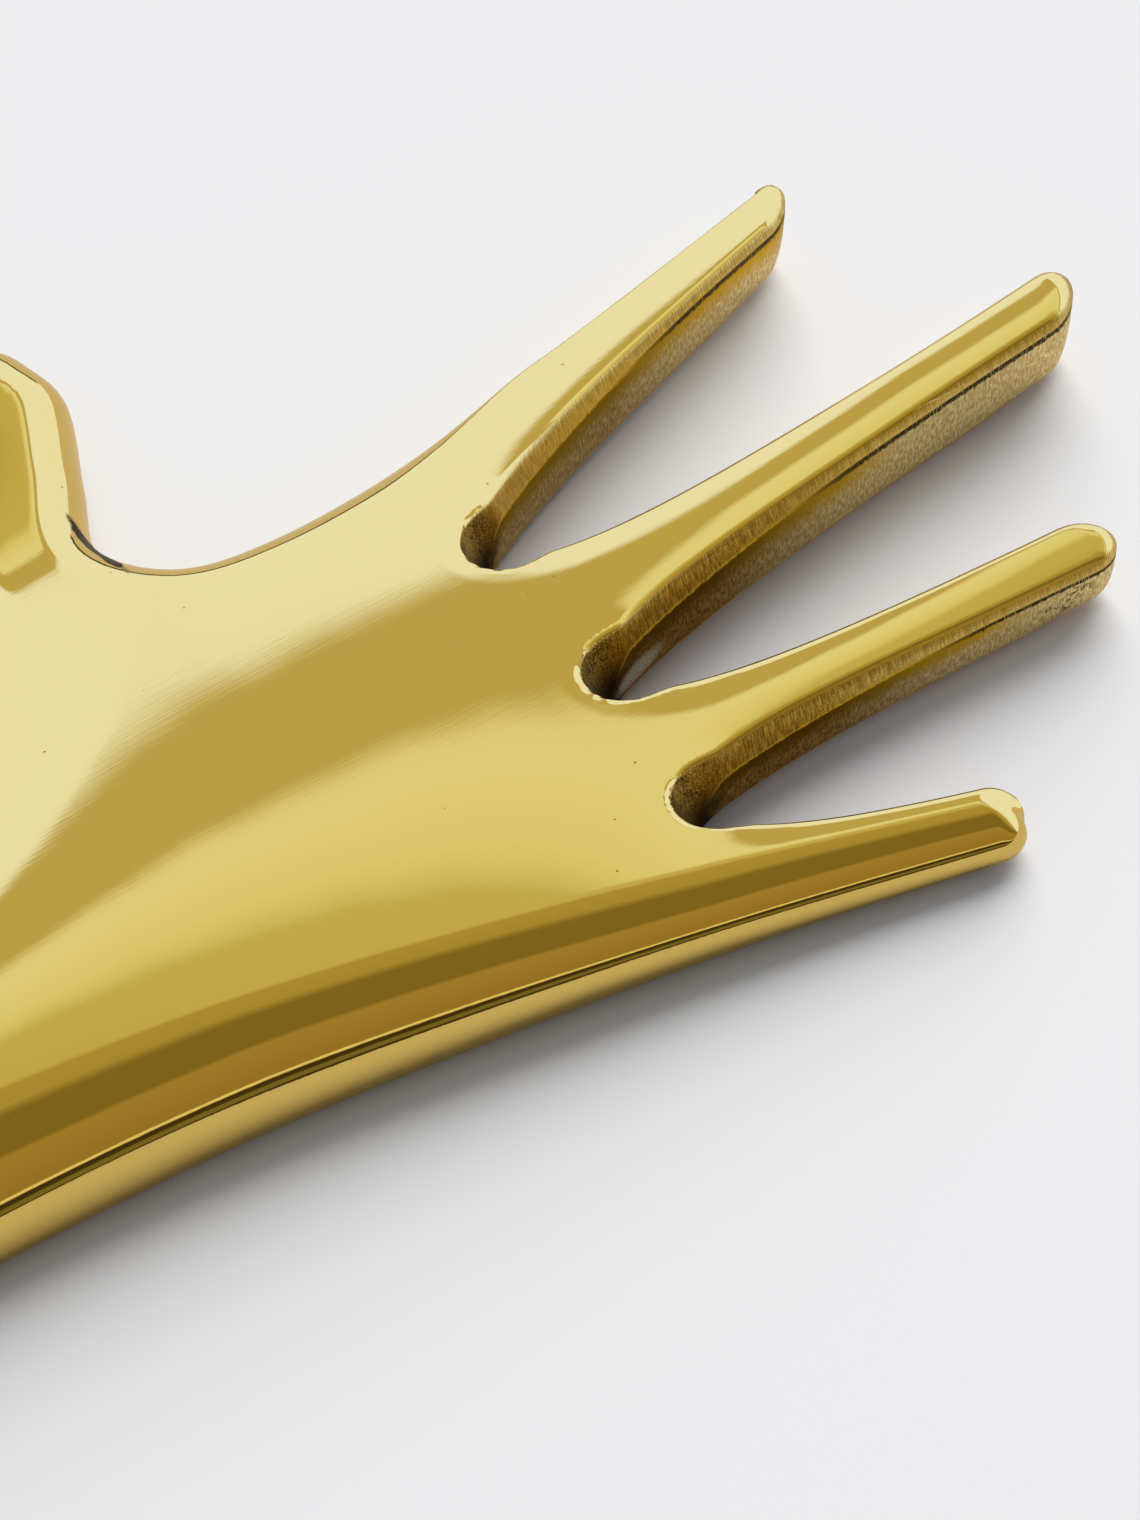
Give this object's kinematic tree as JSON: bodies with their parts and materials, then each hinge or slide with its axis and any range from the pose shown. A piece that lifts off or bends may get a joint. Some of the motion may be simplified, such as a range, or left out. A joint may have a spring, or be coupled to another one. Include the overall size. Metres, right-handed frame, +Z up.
{
  "type": "hand paperweight",
  "caption": "Solid cast brass paperweight shaped as an open right hand with spread fingers, lying palm down on a thin felt pad to hold papers on a desk.",
  "frame": {"origin": "middle of the felt pad's underside, on the desk under the palm", "axes": "+X from the wrist to the fingertips, +Y to the thumb side, +Z up from the desk"},
  "size_m": [0.1367, 0.089, 0.0113],
  "materials": {
    "brass": "polished top, filed and darkened finger gaps",
    "felt": "dark wool felt"
  },
  "bodies": {
    "root": {"hand_casting": "brass", "palm_felt_pad": "felt"}
  },
  "joints": []
}
